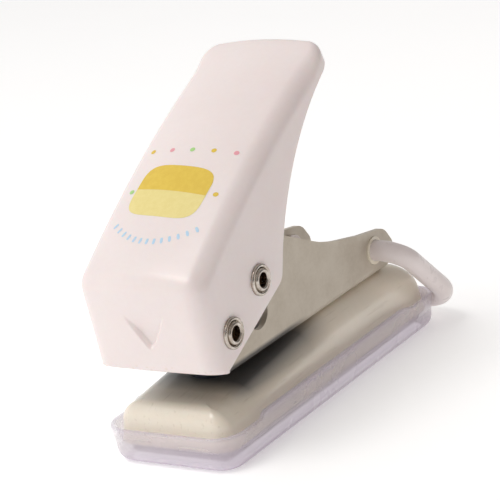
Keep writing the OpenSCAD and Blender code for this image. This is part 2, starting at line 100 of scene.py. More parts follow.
class Material:
    """A Principled material whose nodes are added one call at a time."""

    def __init__(self, name, colour, roughness, **sockets):
        self.mat = bpy.data.materials.new(name)
        self.mat.use_nodes = True
        self.tree = self.mat.node_tree
        self.shader = self.tree.nodes["Principled BSDF"]
        self.shader.inputs["Base Color"].default_value = colour
        self.shader.inputs["Roughness"].default_value = roughness
        for key, value in sockets.items():
            self.shader.inputs[key.replace("_", " ")].default_value = value
        self.place = self.add("ShaderNodeTexCoord").outputs["Object"]
        self.height = None

    def add(self, kind, **settings):
        node = self.tree.nodes.new(kind)
        for key, value in settings.items():
            setattr(node, key, value)
        return node

    def link(self, a, b):
        self.tree.links.new(a, b)

    def stretched(self, scale):
        """Object coordinates scaled by a different amount along each axis."""
        node = self.add("ShaderNodeMapping")
        self.link(self.place, node.inputs["Vector"])
        node.inputs["Scale"].default_value = scale
        return node.outputs["Vector"]

    def noise(self, size_mm, detail=2.0, scale=(1, 1, 1)):
        node = self.add("ShaderNodeTexNoise")
        self.link(self.stretched(scale), node.inputs["Vector"])
        node.inputs["Scale"].default_value = 1 / (size_mm * MM)
        node.inputs["Detail"].default_value = detail
        return node.outputs["Fac"]

    def remap(self, value, low, high, to_low, to_high):
        return map_range(self.tree, value, low, high, to_low, to_high)

    def maths(self, operation, *values):
        node = self.add("ShaderNodeMath", operation=operation)
        for socket, value in zip(node.inputs, values):
            self.link(value, socket)
        return node.outputs["Value"]

    def overlap(self, mask, *others):
        """Where all the masks are 1."""
        for other in others:
            mask = self.maths("MULTIPLY", mask, other)
        return mask

    def along(self, axis):
        """The object coordinate along X, Y or Z, in metres."""
        node = self.add("ShaderNodeSeparateXYZ")
        self.link(self.place, node.inputs["Vector"])
        return node.outputs[axis]

    def fade(self, axis, low_mm, high_mm, at_low, at_high):
        """A value that goes from at_low to at_high between two places along an axis."""
        return self.remap(self.along(axis), low_mm * MM, high_mm * MM, at_low, at_high)

    def specks(self, size_mm, start, full, amount, detail=2.0, scale=(1, 1, 1)):
        """A mask of scattered spots, which begin where the noise passes start."""
        return self.remap(self.noise(size_mm, detail, scale), start, full, 0.0, amount)

    def tint(self, colour, mask):
        """Mixes a colour in where the mask is 1."""
        node = self.add("ShaderNodeMix", data_type="RGBA")
        self.link(mask, node.inputs["Factor"])
        source = self.shader.inputs["Base Color"]
        if source.is_linked:
            self.link(source.links[0].from_socket, node.inputs["A"])
        else:
            node.inputs["A"].default_value = source.default_value
        node.inputs["B"].default_value = colour
        self.link(node.outputs["Result"], source)
        return self

    def mottle(self, colour, size_mm, amount, detail=3.0, scale=(1, 1, 1)):
        """Clouds of a second colour, up to amount."""
        clouds = self.noise(size_mm, detail, scale)
        return self.tint(colour, self.remap(clouds, *CLOUD_BAND, 0.0, amount))

    def rough(self, size_mm, low, high, scale=(1, 1, 1)):
        """Roughness that wanders between low and high."""
        patches = self.noise(size_mm, 3.0, scale)
        value = self.remap(patches, *ROUGH_BAND, low, high)
        self.link(value, self.shader.inputs["Roughness"])
        return self

    def bump(self, size_mm, depth_mm, detail=2.0, scale=(1, 1, 1)):
        """A layer of relief on top of those before it."""
        node = self.add("ShaderNodeBump")
        node.inputs["Distance"].default_value = depth_mm * MM
        self.link(self.noise(size_mm, detail, scale), node.inputs["Height"])
        if self.height is not None:
            self.link(self.height, node.inputs["Normal"])
        self.height = node.outputs["Normal"]
        self.link(self.height, self.shader.inputs["Normal"])
        return self


def plastic(name, colour, roughness, shade, **sockets):
    """Moulded plastic with faint clouds, a slight flow texture and fine grain."""
    m = Material(name, colour, roughness, **sockets)
    m.mottle(shade, 14.0, 0.3)
    m.mottle(shade, 1.1, 0.15)
    m.rough(2.5, roughness * 0.85, roughness * 1.2)
    m.bump(0.35, 0.004)
    m.bump(6.0, 0.02)
    return m


def metal(name, colour, roughness, shade, grain=(1, 1, 1), **sockets):
    """Bare metal with a drawn grain and dull patches."""
    m = Material(name, colour, roughness, Metallic=1.0, **sockets)
    m.mottle(shade, 2.2, 0.6)
    m.rough(0.5, roughness * 0.7, roughness * 1.5, grain)
    m.bump(0.18, 0.004, 3.0, grain)
    return m


def lever_material():
    """Blush plastic, with yellowed specks along the lip."""
    m = plastic("lever_plastic", srgb(242, 231, 229), 0.34, srgb(235, 221, 218),
                Coat_Weight=0.25, Coat_Roughness=0.22,
                Subsurface_Weight=0.12, Subsurface_Scale=0.0012)
    lip, speck_reach = node_box("lever_shell")[0][2], 2.6
    near_lip = m.fade("Z", lip, lip + speck_reach, 1.0, 0.0)
    m.tint(srgb(206, 182, 130), m.overlap(near_lip, m.specks(0.8, 0.60, 0.68, 0.55)))
    return m.mat


def base_material():
    """Cream plastic, scuffed, with painted shade round the channel under the frame and lever."""
    m = plastic("base_plastic", srgb(240, 231, 215), 0.34, srgb(230, 219, 201),
                Coat_Weight=0.6, Coat_Roughness=0.12,
                Subsurface_Weight=0.08, Subsurface_Scale=0.001)
    m.tint(srgb(204, 191, 170), m.specks(1.2, 0.60, 0.70, 0.35, 4.0, (1.8, 0.12, 1.2)))
    wall = node_box("frame")[1][0]
    # Painted shade: a blue-black tint on the block's top beside the frame's walls and under the
    # lever, standing in for the shadow there.
    shade_inside, shade_outside = 1.2, 2.8
    shade_front, shade_back = (-35.0, -29.5), (-7.0, 3.0)
    shade_up, shade_strength = (10.5, 12.5), 0.86
    off_middle = m.maths("ABSOLUTE", m.along("X"))
    beside = m.remap(off_middle, (wall - shade_inside) * MM, (wall + shade_outside) * MM, 1.0, 0.0)
    m.tint(srgb(34, 42, 56), m.overlap(
        beside, m.fade("Y", *shade_back, 1.0, 0.0), m.fade("Y", *shade_front, 0.0, 1.0),
        m.fade("Z", *shade_up, 0.0, shade_strength)))
    return m.mat


def tray_material():
    """Frosted lavender plastic in level streaks, denser at the foot and bluer at the rim."""
    foot, rim, opacity_rise = (0.0, 3.5), (7.2, 8.2), (1.5, 4.8)
    m = Material("tray_plastic", srgb(230, 222, 228), 0.24,
                 IOR=1.46, Coat_Weight=0.5, Coat_Roughness=0.1)
    m.mottle(srgb(208, 194, 212), 4.0, 0.7, 0.0, (0.08, 0.08, 1.0))
    m.mottle(srgb(236, 228, 230), 2.4, 0.3, 0.0, (0.05, 0.05, 1.0))
    m.tint(srgb(192, 176, 200), m.fade("Z", *foot, 0.6, 0.0))
    m.tint(srgb(202, 194, 224), m.fade("Z", *rim, 0.0, 0.7))
    m.link(m.fade("Z", *opacity_rise, 0.6, 0.34), m.shader.inputs["Alpha"])
    m.rough(9.0, 0.22, 0.3)
    m.bump(9.0, 0.006, 0.0, (0.2, 0.2, 1.2))
    return m.mat


def paint_material():
    """Sandy metallic paint, with painted shade on the channel's floor ahead of the fulcrum."""
    m = Material("frame_paint", srgb(196, 186, 170), 0.42,
                 Metallic=0.25, Coat_Weight=0.15, Coat_Roughness=0.3)
    m.mottle(srgb(180, 168, 150), 6.0, 0.6)
    m.mottle(srgb(206, 198, 184), 0.7, 0.3)
    m.rough(1.4, 0.36, 0.52)
    m.bump(0.5, 0.008, 3.0)
    # Painted shade: the channel's floor ahead of the fulcrum is tinted blue-black, standing in for
    # the shadow under the lever.
    floor_shade_top, floor_shade_fade, floor_shade_back = node_box("frame")[0][2] + 1.3, 0.8, (-12.0, -4.0)
    low = m.fade("Z", floor_shade_top, floor_shade_top + floor_shade_fade, 0.85, 0.0)
    m.tint(srgb(26, 29, 36), m.overlap(low, m.fade("Y", *floor_shade_back, 1.0, 0.0)))
    return m.mat


def nickel_material():
    """Nickel plate, browned in places."""
    m = metal("nickel", srgb(214, 208, 200), 0.2, srgb(150, 134, 118), (0.15, 1, 1))
    m.mottle(srgb(120, 92, 66), 0.9, 0.25)
    return m.mat


def steel_material(name, colour):
    """Turned steel, drawn along Z."""
    return metal(name, colour, 0.3, srgb(128, 126, 124), (1, 1, 0.12)).mat


def brass_material():
    """Turned brass, drawn along Z."""
    return metal("bush_brass", srgb(206, 172, 104), 0.28, srgb(150, 118, 66), (1, 1, 0.12)).mat


def ink_material(name, colour, shade):
    """Pad-printed ink: nearly matt, with a slightly uneven film."""
    m = Material(name, colour, 0.4)
    m.mottle(shade, 1.3, 0.5)
    m.mottle(shade, 0.25, 0.25)
    m.bump(0.3, 0.003)
    return m.mat


# ---------------------------------------------------------------- outlines

def polar(centre, radius, degrees):
    """The point at a radius and an angle from the centre."""
    a = math.radians(degrees)
    return np.array(centre) + radius * np.array([math.cos(a), math.sin(a)])


def arc(centre, radius, start, end, n):
    """Points along an arc in n equal steps, from one angle to another."""
    return [polar(centre, radius, start + (end - start) * i / n) for i in range(n + 1)]


def unit(v):
    v = np.array(v, float)
    return v / np.linalg.norm(v)


def corner(a, p, b, radius, n):
    """Points that round the corner p between its neighbours a and b."""
    a, p, b = (np.array(q, float) for q in (a, p, b))
    u, v = unit(a - p), unit(b - p)
    half = math.acos(np.clip(u @ v, -1, 1)) / 2
    centre = p + unit(u + v) * radius / math.sin(half)
    start = p + u * radius / math.tan(half) - centre
    turn = math.copysign(1, u[0] * v[1] - u[1] * v[0])
    a0 = math.degrees(math.atan2(start[1], start[0]))
    return arc(centre, radius, a0, a0 - turn * (180 - 2 * math.degrees(half)), n)


def bow(p, q, radius, n):
    """The arc from p to q whose centre lies to the right of the way from p to q."""
    p, q = np.array(p, float), np.array(q, float)
    d = q - p
    centre = (p + q) / 2 + unit([d[1], -d[0]]) * math.sqrt(radius ** 2 - d @ d / 4)
    a0 = math.degrees(math.atan2(*(p - centre)[::-1]))
    a1 = math.degrees(math.atan2(*(q - centre)[::-1]))
    return arc(centre, radius, a0, a1, n)


def resample(points, shares):
    """Points at shares of a polyline's length."""
    pts = np.array(points, float)
    steps = np.linalg.norm(np.diff(pts, axis=0), axis=1)
    at = np.concatenate([[0], np.cumsum(steps)])
    wanted = np.array(shares) * at[-1]
    return np.stack([np.interp(wanted, at, column) for column in pts.T], 1)


def smooth(x, low, high):
    """An S-shaped step from 0 at low to 1 at high."""
    t = np.clip((x - low) / (high - low), 0, 1)
    return t * t * (3 - 2 * t)


# ---------------------------------------------------------------- meshes

def shade_smooth(piece):
    for poly in piece.data.polygons:
        poly.use_smooth = True


def build(name, vertices, faces, body, material, *, slot, replaces=()):
    """A smooth-shaded mesh piece that rides on a CAD body."""
    mesh = bpy.data.meshes.new(name)
    places = [tuple(np.array(v) * MM) for v in vertices]
    mesh.from_pydata(places, [], [tuple(f) for f in faces])
    bm = bmesh.new()
    bm.from_mesh(mesh)
    bmesh.ops.remove_doubles(bm, verts=bm.verts, dist=1e-6)
    bmesh.ops.recalc_face_normals(bm, faces=bm.faces)
    bm.to_mesh(mesh)
    bm.free()
    mesh.materials.append(material)
    piece = bpy.data.objects.new(name, mesh)
    bpy.context.scene.collection.objects.link(piece)
    shade_smooth(piece)
    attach(piece, body)
    if replaces:
        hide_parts(*replaces)
    return piece


def grid_faces(rows, columns, closed=False):
    """Quads of a grid of vertices given row by row; closed joins the last column to the first."""
    faces = []
    for r in range(rows - 1):
        here, above = r * columns, (r + 1) * columns
        for c in range(columns if closed else columns - 1):
            beside = (c + 1) % columns
            faces.append((here + c, here + beside, above + beside, above + c))
    return faces


def add_modifier(piece, kind, **settings):
    mod = piece.modifiers.new(kind.title(), kind)
    for key, value in settings.items():
        setattr(mod, key, value)
    return mod


def soften(piece, width_mm, segments=2, angle=35):
    """Rounds the sharp edges a little and keeps the flats flat."""
    add_modifier(piece, "BEVEL", width=width_mm * MM, segments=segments, limit_method="ANGLE",
                 angle_limit=math.radians(angle), harden_normals=True, use_clamp_overlap=True)
    shade_smooth(piece)


def smooth_by_angle(piece, degrees=30):
    """Marks edges sharper than the angle, and shades the rest smoothly."""
    shade_smooth(piece)
    piece.data.set_sharp_from_angle(angle=math.radians(degrees))


def freeze(piece):
    """Applies the piece's modifiers to its mesh."""
    dg = bpy.context.evaluated_depsgraph_get()
    mesh = bpy.data.meshes.new_from_object(piece.evaluated_get(dg))
    piece.modifiers.clear()
    old, piece.data = piece.data, mesh
    bpy.data.meshes.remove(old)


def cut(piece, *tools):
    """Takes plain tool solids, each (vertices, faces), out of the piece."""
    objects = []
    for vertices, faces in tools:
        mesh = bpy.data.meshes.new("tool")
        mesh.from_pydata([tuple(np.array(v) * MM) for v in vertices], [], faces)
        tool = bpy.data.objects.new("tool", mesh)
        bpy.context.scene.collection.objects.link(tool)
        objects.append(tool)
        add_modifier(piece, "BOOLEAN", operation="DIFFERENCE", solver="EXACT", object=tool)
    bpy.context.view_layer.update()
    freeze(piece)
    for tool in objects:
        bpy.data.objects.remove(tool)


def circle(centre, radius, n):
    """The corners of a regular polygon that stands for a circle."""
    angles = [2 * math.pi * i / n for i in range(n)]
    return [(centre[0] + radius * math.cos(a), centre[1] + radius * math.sin(a)) for a in angles]


def rod_tool(axis, centre, radius, low, high, n=64):
    """A cylinder along X or Z for cut(), with its faces turned outwards."""
    vertices = [(w, u, v) if axis == "X" else (u, v, w)
                for w in (low, high) for u, v in circle(centre, radius, n)]
    faces = [(i, (i + 1) % n, n + (i + 1) % n, n + i) for i in range(n)]
    faces += [tuple(reversed(range(n))), tuple(range(n, 2 * n))]
    return vertices, faces


def lathe(profile, centre, n=72, mirrored=False):
    """Vertices and faces of a closed profile of (x, radius) turned about an X axis at (y, z)."""
    vertices, faces = [], []
    for side in (1, -1) if mirrored else (1,):
        start = len(vertices)
        for x, radius in profile:
            vertices += [(side * x, y, z) for y, z in circle(centre, radius, n)]
        for j in range(len(profile)):
            a, b = start + j * n, start + (j + 1) % len(profile) * n
            faces += [(a + i, a + (i + 1) % n, b + (i + 1) % n, b + i) for i in range(n)]
    return vertices, faces


# ---------------------------------------------------------------- lever

FULCRUM = pivot("lever_press")
lever_low, lever_high = node_box("lever_shell")
LEVER_HALF = lever_high[0]
LEVER_WALL = 1.2
EDGE_R = 4.2
FRONT_SAG = 0.4
TOP_SAG = 1.25
TOP_RISE = 0.35
CREASE_R = 5.4
CROWN_R = 257.0
CROWN_SLOPE = 38.0
CROWN_LENGTH = 67.2
TIP_R = 2.6
TIP_PLAN_R = 6.5
TIP_END_ANGLE = -62.0
TIP_EDGE_SHARE = 0.55
HEEL_R = 2.5
KNEE_R = 3.5
BACK_R = 62.0
LIP_BULGE = 0.5

# Corners of the side outline, and the arcs of the top face and the tip
CHIN = FULCRUM + [-7.4, -6.4]
HEEL = FULCRUM + [-3.4, -7.4]
KNEE = FULCRUM + [20.2, 3.9]
WAIST = FULCRUM + [22.0, 9.6]
CREASE = np.array([lever_low[1], FULCRUM[1] + 13.3])
CROWN_CENTRE = CREASE + CROWN_R * polar((0, 0), 1, CROWN_SLOPE - 90)
TIP_ANGLE = 90 + CROWN_SLOPE - math.degrees(CROWN_LENGTH / CROWN_R)
TIP_CENTRE = polar(CROWN_CENTRE, CROWN_R - TIP_R, TIP_ANGLE)
TIP_WAY = polar((0, 0), 1, TIP_ANGLE - 90)
FRONT_UP = unit(CREASE - CHIN)
FRONT_HEIGHT = float(np.linalg.norm(CREASE - CHIN))

# The pointed grip mark on the lever's front, measured up from the chin
MARK_X = 0.8
MARK_FOOT = 4.9
MARK_TOP = 13.2
MARK_HALF = 5.2
MARK_DEPTH = 1.1


def crown_point(along, rise=0.0):
    """A point over the lever's top face, by its distance from the crease and its height."""
    return polar(CROWN_CENTRE, CROWN_R + rise, 90 + CROWN_SLOPE - math.degrees(along / CROWN_R))


def mark_depth(x, up):
    """Depth of the pointed grip mark, which is deepest at its point and fades out upwards."""
    slope = math.atan2(MARK_HALF, MARK_TOP - MARK_FOOT)
    side = (up - MARK_FOOT) * math.tan(slope) - math.sqrt((x - MARK_X) ** 2 + 0.3) + 0.4
    inside = smooth(side * math.cos(slope), -0.15, 0.45)
    return MARK_DEPTH * inside * (1 - smooth(up, MARK_FOOT + 3.0, MARK_TOP))


def lever_top_path():
    """The top outline from chin to tip: points, inward normals, edge radii and distances."""
    crease = corner(CHIN, CREASE, crown_point(12.0), CREASE_R, 10)
    front_top = float(np.linalg.norm(crease[0] - CHIN))
    mark_rows = np.arange(MARK_FOOT - 0.9, MARK_TOP + 0.6, 0.2)
    heights = [*np.linspace(LIP_BULGE, mark_rows[0], 6)[:-1], *mark_rows,
               *np.linspace(mark_rows[-1], front_top, 6)[1:-1]]
    points = [CHIN + FRONT_UP * h for h in heights] + crease
    along = float(np.linalg.norm(crease[-1] - CREASE))
    points += [crown_point(s) for s in np.linspace(along, CROWN_LENGTH, 56)[1:]]
    points += arc(TIP_CENTRE, TIP_R, TIP_ANGLE, TIP_END_ANGLE, 18)[1:]
    points = np.array(points)
    steps = np.linalg.norm(np.diff(points, axis=0), axis=1)
    travelled = heights[0] + np.concatenate([[0], np.cumsum(steps)])
    ahead = np.gradient(points, axis=0)
    normals = np.stack([ahead[:, 1], -ahead[:, 0]], 1)
    normals /= np.linalg.norm(normals, axis=1)[:, None]
    lean = (1 - smooth(travelled, travelled[0], 8))[:, None]
    normals = normals * (1 - lean) + unit(HEEL - CHIN) * lean
    normals /= np.linalg.norm(normals, axis=1)[:, None]
    left = travelled[-1] - travelled
    tip_arc = math.radians(TIP_ANGLE - TIP_END_ANGLE) * TIP_R
    before_tip = TIP_EDGE_SHARE + (1 - TIP_EDGE_SHARE) * smooth(left, tip_arc, tip_arc + 9)
    round_tip = TIP_EDGE_SHARE * smooth(left, 0, tip_arc)
    radii = EDGE_R * np.where(left > tip_arc, before_tip, round_tip)
    return points, normals, radii, travelled


def lever_rear_path():
    """The lower and rear outline from chin to tip, drawn in by the lip's bulge."""
    under = polar(TIP_CENTRE, TIP_R, TIP_END_ANGLE)
    heel = corner(CHIN, HEEL, KNEE, HEEL_R, 8)
    knee = corner(HEEL, KNEE, WAIST, KNEE_R, 8)
    points = np.array([CHIN, *heel, *knee, *bow(WAIST, under, BACK_R, 24)])
    ahead = np.gradient(points, axis=0)
    inward = np.stack([-ahead[:, 1], ahead[:, 0]], 1)
    inward /= np.linalg.norm(inward, axis=1)[:, None]
    points = points + inward * LIP_BULGE
    points[-1] = under
    return points


def tip_turn(point):
    """How far round the tip's plan corner a point in YZ is: the sine of the side's turn."""
    past = (point - TIP_CENTRE) @ TIP_WAY - TIP_R + TIP_PLAN_R
    return min(max(past / TIP_PLAN_R, 0.0), 0.995)


def lever_half(point):
    """Half the lever's width at a point in YZ."""
    return LEVER_HALF - TIP_PLAN_R * (1 - math.sqrt(1 - tip_turn(point) ** 2))


def side_normal(turn):
    """The inward normal of the lever's side where it has turned round the tip's plan corner."""
    return np.array([-math.sqrt(1 - turn ** 2), *(-turn * TIP_WAY)])


def lever_row(p, n, r, up, q, flat, turns, wall):
    """One row of the outer skin, side to side, as (point, inward normal) pairs.

    p, n, r and up are the top outline's point, normal, edge radius and distance, and q is the
    rear outline's point. flat, turns and wall are the steps over the top face, round the edge
    and down the side.
    """
    r = max(r, 0.01)
    share = min(r / EDGE_R, 1.0)
    on_top = smooth(up, FRONT_HEIGHT - 5, FRONT_HEIGHT + 6)
    sag = (FRONT_SAG + (TOP_SAG - FRONT_SAG) * on_top) * share
    p = p - n * TOP_RISE * on_top * share
    lean = math.atan2(2 * sag, lever_half(p) - r)
    reach = lever_half(p) - r * (1 - math.sin(lean))
    right = []
    for t in turns:
        a = lean + (math.pi / 2 - lean) * t
        at = p + n * (sag + r * (math.cos(lean) - math.cos(a)))
        x = lever_half(at) - r * (1 - math.sin(a))
        normal = math.sin(a) * side_normal(tip_turn(at)) + math.cos(a) * np.array([0, *n])
        right.append(((x, *at), normal))
    inner = p + n * (sag + r * math.cos(lean))
    for w in wall:
        at = inner + (q - inner) * w
        right.append(((lever_half(at), *at), side_normal(tip_turn(at))))
    left = [((-v[0], v[1], v[2]), m * [-1, 1, 1]) for v, m in reversed(right)]
    middle = []
    for f in flat:
        x = f * reach
        dip = mark_depth(x, up) if up < FRONT_HEIGHT else 0.0
        at = p + n * (sag * f * f + dip)
        middle.append(((x, *at), np.array([0, *n])))
    return left + middle + right


def build_lever(material):
    """The hollow lever: an outer and an inner skin joined by a rounded lip."""
    points, normals, radii, travelled = lever_top_path()
    rear = lever_rear_path()
    rear_steps = np.linalg.norm(np.diff(rear, axis=0), axis=1)
    first = EDGE_R / rear_steps.sum()
    rear_share = {travelled[0]: first, 3.2: first + 0.02, FRONT_HEIGHT: 0.36,
                  travelled[-1] - 5.0: 0.995, travelled[-1]: 1.0}
    shares = np.interp(travelled, list(rear_share), list(rear_share.values()))
    below = resample(rear, shares)
    mark_left, mark_right = -0.5, 0.62
    flat = np.concatenate([np.linspace(-1, mark_left, 5)[:-1],
                           np.linspace(mark_left, mark_right, 58),
                           np.linspace(mark_right, 1, 5)[1:]])
    turns = np.linspace(0, 1, 11)[1:]
    wall = np.linspace(0, 1, 9)[1:]
    rows = [lever_row(*station, flat, turns, wall)
            for station in zip(points, normals, radii, travelled, below)]
    count, wide = len(rows), len(rows[0])
    outer = np.array([[v for v, _ in row] for row in rows], float)
    inward = np.array([[m / np.linalg.norm(m) for _, m in row] for row in rows], float)
    inner = outer + inward * LEVER_WALL

    rim = [(0, j) for j in range(wide)] + [(i, wide - 1) for i in range(1, count)]
    rim += [(count - 1, j) for j in range(wide - 2, -1, -1)]
    rim += [(i, 0) for i in range(count - 2, 0, -1)]
    rear_ahead = np.gradient(below, axis=0)
    down = np.stack([rear_ahead[:, 1], -rear_ahead[:, 0]], 1)
    down /= np.maximum(np.linalg.norm(down, axis=1), 1e-9)[:, None]
    tip_down = polar((0, 0), 1, TIP_END_ANGLE - 90)
    lips = []
    for i, j in rim:
        if i == 0:
            way = -FRONT_UP
        elif i == count - 1:
            way = tip_down
        else:
            way = down[i]
        a, b = outer[i, j], inner[i, j]
        bulge = np.array([0, *way]) * LIP_BULGE
        lips.append([(a + b) / 2 + (a - b) / 2 * math.cos(t) + bulge * math.sin(t)
                     for t in np.radians([30, 60, 90, 120, 150])])
    vertices = [*outer.reshape(-1, 3), *inner.reshape(-1, 3), *[v for lip in lips for v in lip]]
    faces = grid_faces(count, wide)
    faces += [tuple(k + count * wide for k in reversed(f)) for f in grid_faces(count, wide)]
    start, steps = 2 * count * wide, len(lips[0])
    chains = []
    for k, (i, j) in enumerate(rim):
        lip = range(start + k * steps, start + (k + 1) * steps)
        chains.append([i * wide + j, *lip, (count + i) * wide + j])
    for a, b in zip(chains, chains[1:] + chains[:1]):
        faces += [(a[k], b[k], b[k + 1], a[k + 1]) for k in range(len(a) - 1)]
    return build("lever_cover", vertices, faces, "lever", material,
                 slot="lever_plastic", replaces=["lever_shell"])


drive_low, drive_high = node_box("drive_tube")
DRIVE = ((drive_low + drive_high) / 2)[1:]
tube_low, tube_high = node_box("fulcrum_tube")
FLARE_REACH = 0.3
TUBE_R = (tube_high[2] - tube_low[2]) / 2 - FLARE_REACH
TUBE_GAP = 0.05

lever = build_lever(lever_material())
cut(lever, *[rod_tool("X", centre, TUBE_R + TUBE_GAP, -LEVER_HALF - 2, LEVER_HALF + 2)
             for centre in (FULCRUM, DRIVE)])
smooth_by_angle(lever, 40)

# ---------------------------------------------------------------- rivet tubes and eyelets

TUBE_END = tube_high[0]
eyelet_low, eyelet_high = node_box("fulcrum_eyelets")
EYELET_R = (eyelet_high[2] - eyelet_low[2]) / 2
EYELET_DOME = 0.36
BORE_R = 1.9
FLARE_R = 0.4


def oily_bore_material():
    """The brown film of old oil inside the rivet tubes."""
    m = Material("bore", srgb(150, 116, 88), 0.42, Metallic=0.35)
    m.mottle(srgb(74, 52, 38), 0.9, 0.9, 4.0)
    m.mottle(srgb(206, 176, 140), 0.35, 0.35, 3.0)
    m.rough(0.6, 0.3, 0.55)
    m.bump(0.4, 0.03, 3.0)
    return m.mat


def build_tube(name, node, at, nickel, bore):
    """The rivet tube with a rolled flare at each end, and oil inside it."""
    mouth = TUBE_R - 0.1 - FLARE_R
    flare = [tuple(polar((TUBE_END - FLARE_R, mouth), FLARE_R, a))
             for a in (80, 55, 30, 10, -10, -30, -55, -80)]
    half = [(LEVER_HALF - 0.5, TUBE_R), (TUBE_END - FLARE_R - 0.12, TUBE_R - 0.02), *flare,
            (TUBE_END - 1.6, mouth - 0.25), (TUBE_END - 2.6, BORE_R)]
    vertices, faces = lathe(half + [(-x, r) for x, r in reversed(half)], at, 64)
    tube = build(name, vertices, faces, "lever", nickel, slot="nickel", replaces=[node])
    tube.data.materials.append(bore)
    oil_end, oil_r = TUBE_END - 0.7, TUBE_R - 0.3
    for poly in tube.data.polygons:
        corners = [np.array(tube.data.vertices[k].co) / MM for k in poly.vertices]
        if all(abs(p[0]) < oil_end and math.hypot(*(p[1:] - at)) < oil_r for p in corners):
            poly.material_index = 1
    smooth_by_angle(tube, 60)


def build_eyelets(name, node, at, nickel):
    """The pair of domed rings that the flares hold against the lever."""
    seat, hole = LEVER_HALF - 0.02, TUBE_R + TUBE_GAP
    dome_centre = (seat + EYELET_DOME, EYELET_R - EYELET_DOME)
    dome = [tuple(polar(dome_centre, EYELET_DOME, a)) for a in (90, 65, 40, 15, -10, -35, -60)]
    profile = [(seat, hole), (seat, EYELET_R), *dome, (seat + 0.3, hole)]
    vertices, faces = lathe(profile, at, 64, mirrored=True)
    eyelets = build(name, vertices, faces, "lever", nickel, slot="nickel", replaces=[node])
    smooth_by_angle(eyelets, 50)


nickel_mat = nickel_material()
bore_mat = oily_bore_material()
for prefix, centre in (("fulcrum", FULCRUM), ("drive", DRIVE)):
    build_tube(prefix + "_rivet_tube", prefix + "_tube", centre, nickel_mat, bore_mat)
    build_eyelets(prefix + "_eyelet_rings", prefix + "_eyelets", centre, nickel_mat)

# ---------------------------------------------------------------- base block and tray


class Plan:
    """Stations round a rounded rectangle, each of which can be drawn in by its own inset."""

    def __init__(self, half_x, half_y, radius, per_corner=10, per_side=64, per_end=20):
        self.half = np.array([half_x, half_y])
        self.radius = radius
        self.stations = []
        for start, count in ((0, per_side), (90, per_end), (180, per_side), (270, per_end)):
            normal = polar((0, 0), 1, start)
            ahead = polar((0, 0), 1, start + 90)
            for t in np.linspace(-1, 1, count + 1)[1:-1]:
                self.stations.append((normal, ahead * t, None))
            sign = np.sign(np.round(normal + ahead, 6))
            for a in np.linspace(0, 90, per_corner + 1):
                self.stations.append((polar((0, 0), 1, start + a), None, sign))

    def place(self, station, inset):
        """A station's place when its sides are drawn in by inset, one number or an (x, y) pair."""
        normal, along, sign = station
        inset = np.array([inset, inset]) if np.isscalar(inset) else np.array(inset)
        r = max(self.radius - inset.mean(), 0.02)
        half = self.half - inset
        if sign is None:
            return normal * half + along * np.maximum(half - r, 0.0)
        return sign * np.maximum(half - r, 0.0) + normal * r


def ring_skin(name, plan, rings, body, material, **kinds):
    """A mesh of rings round a plan.

    Each ring gives (inset, height) for a station; a height may be a function of x and y.
    """
    vertices = []
    for ring in rings:
        for station in plan.stations:
            inset, height = ring(station)
            x, y = plan.place(station, inset)
            vertices.append((x, y, height(x, y) if callable(height) else height))
    faces = grid_faces(len(rings), len(plan.stations), closed=True)
    return build(name, vertices, faces, body, material, **kinds)


base_low, base_high = node_box("base_shell")
SEAT = base_high[2]
FOOT = base_low[2]
RAMP_FRONT = 12.4
RAMP_LENGTH = 46.0
RAMP_EASE = 0.12
SIDE_R = 6.0
FRONT_R = 3.2
REAR_R = 10.0
REAR_START = 31.6
BASE_DRAFT = 0.8
BASE_WALL = 1.2
BASE_PLAN_R = 4.4
EDGE_BLEND = 1.6
DIE_POCKET_R = 5.62


def ramp_top(y):
    """Height of the base block's top along its length, before its edges are rounded."""
    t = (y - base_low[1]) / RAMP_LENGTH
    if t >= 1 + RAMP_EASE:
        t = 1.0
    elif t >= 1 - RAMP_EASE:
        t = 1 - (1 + RAMP_EASE - t) ** 2 / (4 * RAMP_EASE)
    return RAMP_FRONT + (SEAT - RAMP_FRONT) * t


def rear_drop(y):
    """How far the top has curved down at the block's rear."""
    past = min(max(y - REAR_START, 0), REAR_R - 0.3)
    return REAR_R - math.sqrt(REAR_R ** 2 - past ** 2)


def base_inset(station, share, beyond=0.0):
    """How far a ring is drawn in, as an (x, y) pair.

    It is share of the edge's radius, then beyond of the way to the middle.
    """
    normal, along, sign = station
    ahead = (along if sign is None else sign)[1] + normal[1] < 0
    pair = []
    for radius in (SIDE_R, FRONT_R if ahead else SIDE_R):
        edge = BASE_DRAFT + radius * share
        pair.append(edge + (base_high[0] - edge) * beyond)
    return pair


def base_fillet(turn):
    """A ring on the rounded upper edge, from 0 at the wall to 1 on the top."""
    a = turn * math.pi / 2

    def ring(station):
        front = max(0.0, -station[0][1])
        drop = (SIDE_R + (FRONT_R - SIDE_R) * front) * (1 - math.sin(a))

        def height(x, y):
            both = drop ** EDGE_BLEND + rear_drop(y) ** EDGE_BLEND
            return ramp_top(y) - both ** (1 / EDGE_BLEND)
        return base_inset(station, 1 - math.cos(a)), height
    return ring


def base_wall(share):
    """A ring on the sloping wall, from 0 at the foot to 1 at the rounded edge."""
    top = base_fillet(0.0)

    def ring(station):
        height = top(station)[1]
        return BASE_DRAFT * share, lambda x, y: FOOT + (height(x, y) - FOOT) * share
    return ring


def base_top(beyond):
    """A ring on the top face, from 0 at the rounded edge to 1 at the middle."""
    return lambda station: (base_inset(station, 1.0, beyond),
                            lambda x, y: ramp_top(y) - rear_drop(y))


